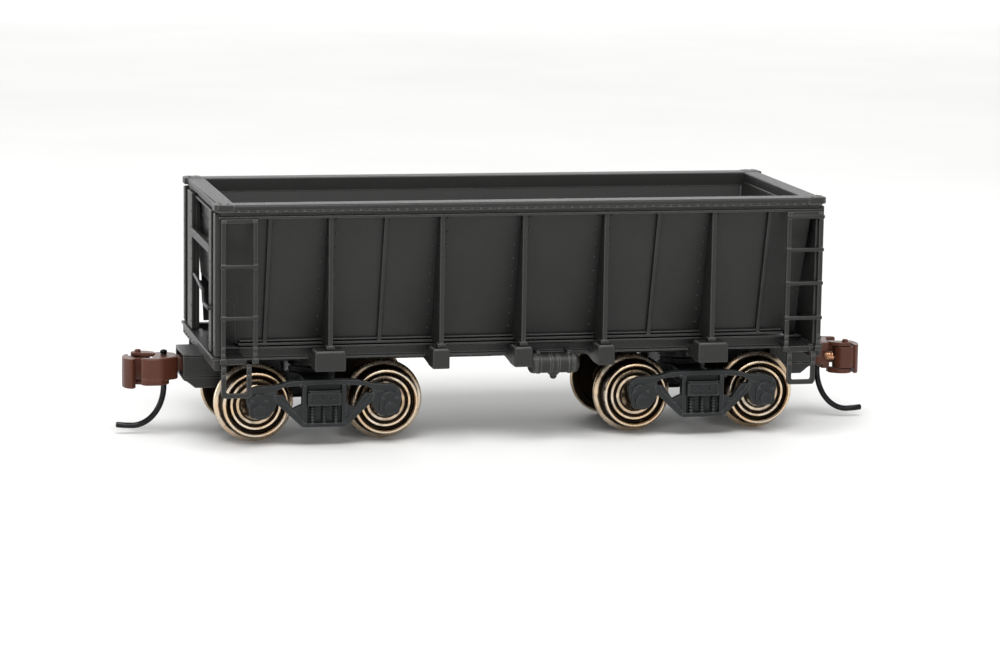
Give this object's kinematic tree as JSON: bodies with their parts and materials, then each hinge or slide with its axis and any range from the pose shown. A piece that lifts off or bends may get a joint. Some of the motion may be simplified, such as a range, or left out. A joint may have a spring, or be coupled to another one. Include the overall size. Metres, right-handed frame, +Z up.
{
  "type": "model hopper car",
  "caption": "Small-scale open-top ore hopper car with swivelling trucks, turning flanged wheels and sprung knuckle couplers.",
  "frame": {"origin": "half way between the trucks on the car's centre line, at the height of the wheel flanges' lowest points", "axes": "+X along the car to its B end, +Z up, -Y the side with the air reservoir"},
  "size_m": [0.0634, 0.02, 0.02],
  "materials": {
    "black_plastic": "satin black moulded plastic, slightly worn grey on edges",
    "truck_plastic": "matte engineering plastic, dark cool grey",
    "coupler_plastic": "satin dark brown plastic",
    "wheel_metal": "turned and blackened metal with a warm bronze sheen",
    "dark_wire": "glossy blackened wire",
    "bronze_wire": "phosphor bronze spring wire",
    "steel": "darkened steel"
  },
  "bodies": {
    "car_body": {"hopper_body": "black_plastic", "underframe": "black_plastic", "steel_weight": "steel", "air_reservoir": "black_plastic", "brake_wheel": "black_plastic", "brake_cylinder": "black_plastic", "end_grab_iron_b": "black_plastic", "draft_box_lid_b": "black_plastic", "lid_screw_b": "steel", "centring_spring_b": "bronze_wire", "truck_screw_b": "steel", "side_ladder_b_near": "black_plastic", "sill_step_b_near": "black_plastic", "side_ladder_b_far": "black_plastic", "sill_step_b_far": "black_plastic", "end_grab_iron_a": "black_plastic", "draft_box_lid_a": "black_plastic", "lid_screw_a": "steel", "centring_spring_a": "bronze_wire", "truck_screw_a": "steel", "side_ladder_a_near": "black_plastic", "sill_step_a_near": "black_plastic", "side_ladder_a_far": "black_plastic", "sill_step_a_far": "black_plastic"},
    "truck_b": {"truck_frame_b": "truck_plastic"},
    "wheelset_b_outer": {"axle_b_outer": "wheel_metal", "wheel_b_outer_near": "wheel_metal", "wheel_b_outer_far": "wheel_metal"},
    "wheelset_b_inner": {"axle_b_inner": "wheel_metal", "wheel_b_inner_near": "wheel_metal", "wheel_b_inner_far": "wheel_metal"},
    "coupler_b": {"coupler_shank_b": "coupler_plastic", "trip_pin_b": "dark_wire", "knuckle_spring_b": "bronze_wire"},
    "knuckle_b": {"knuckle_b": "coupler_plastic"},
    "truck_a": {"truck_frame_a": "truck_plastic"},
    "wheelset_a_outer": {"axle_a_outer": "wheel_metal", "wheel_a_outer_near": "wheel_metal", "wheel_a_outer_far": "wheel_metal"},
    "wheelset_a_inner": {"axle_a_inner": "wheel_metal", "wheel_a_inner_near": "wheel_metal", "wheel_a_inner_far": "wheel_metal"},
    "coupler_a": {"coupler_shank_a": "coupler_plastic", "trip_pin_a": "dark_wire", "knuckle_spring_a": "bronze_wire"},
    "knuckle_a": {"knuckle_a": "coupler_plastic"}
  },
  "joints": [
    {"name": "truck_b_swivel", "type": "hinge", "parent": "car_body", "child": "truck_b", "pos_m": [0.01575, 0, 0.00558], "axis": [0, 0, 1], "range_deg": [-7, 7]},
    {"name": "wheelset_b_outer_spin", "type": "hinge", "parent": "truck_b", "child": "wheelset_b_outer", "pos_m": [0.02105, 0, 0.00325], "axis": [0, 1, 0], "continuous": true},
    {"name": "wheelset_b_inner_spin", "type": "hinge", "parent": "truck_b", "child": "wheelset_b_inner", "pos_m": [0.01045, 0, 0.00325], "axis": [0, 1, 0], "continuous": true},
    {"name": "coupler_b_swing", "type": "hinge", "parent": "car_body", "child": "coupler_b", "pos_m": [0.0246, 0, 0.0059], "axis": [0, 0, 1], "range_deg": [-8, 8], "stiffness_Nm_per_rad": 0.00002},
    {"name": "knuckle_b_open", "type": "hinge", "parent": "coupler_b", "child": "knuckle_b", "pos_m": [0.02975, -0.00145, 0.0055], "axis": [0, 0, -1], "range_deg": [0, 20], "stiffness_Nm_per_rad": 0.0000002},
    {"name": "truck_a_swivel", "type": "hinge", "parent": "car_body", "child": "truck_a", "pos_m": [-0.01575, 0, 0.00558], "axis": [0, 0, 1], "range_deg": [-7, 7]},
    {"name": "wheelset_a_outer_spin", "type": "hinge", "parent": "truck_a", "child": "wheelset_a_outer", "pos_m": [-0.02105, 0, 0.00325], "axis": [0, 1, 0], "continuous": true},
    {"name": "wheelset_a_inner_spin", "type": "hinge", "parent": "truck_a", "child": "wheelset_a_inner", "pos_m": [-0.01045, 0, 0.00325], "axis": [0, 1, 0], "continuous": true},
    {"name": "coupler_a_swing", "type": "hinge", "parent": "car_body", "child": "coupler_a", "pos_m": [-0.0246, 0, 0.0059], "axis": [0, 0, 1], "range_deg": [-8, 8], "stiffness_Nm_per_rad": 0.00002},
    {"name": "knuckle_a_open", "type": "hinge", "parent": "coupler_a", "child": "knuckle_a", "pos_m": [-0.02975, 0.00145, 0.0055], "axis": [0, 0, -1], "range_deg": [0, 20], "stiffness_Nm_per_rad": 0.0000002}
  ]
}
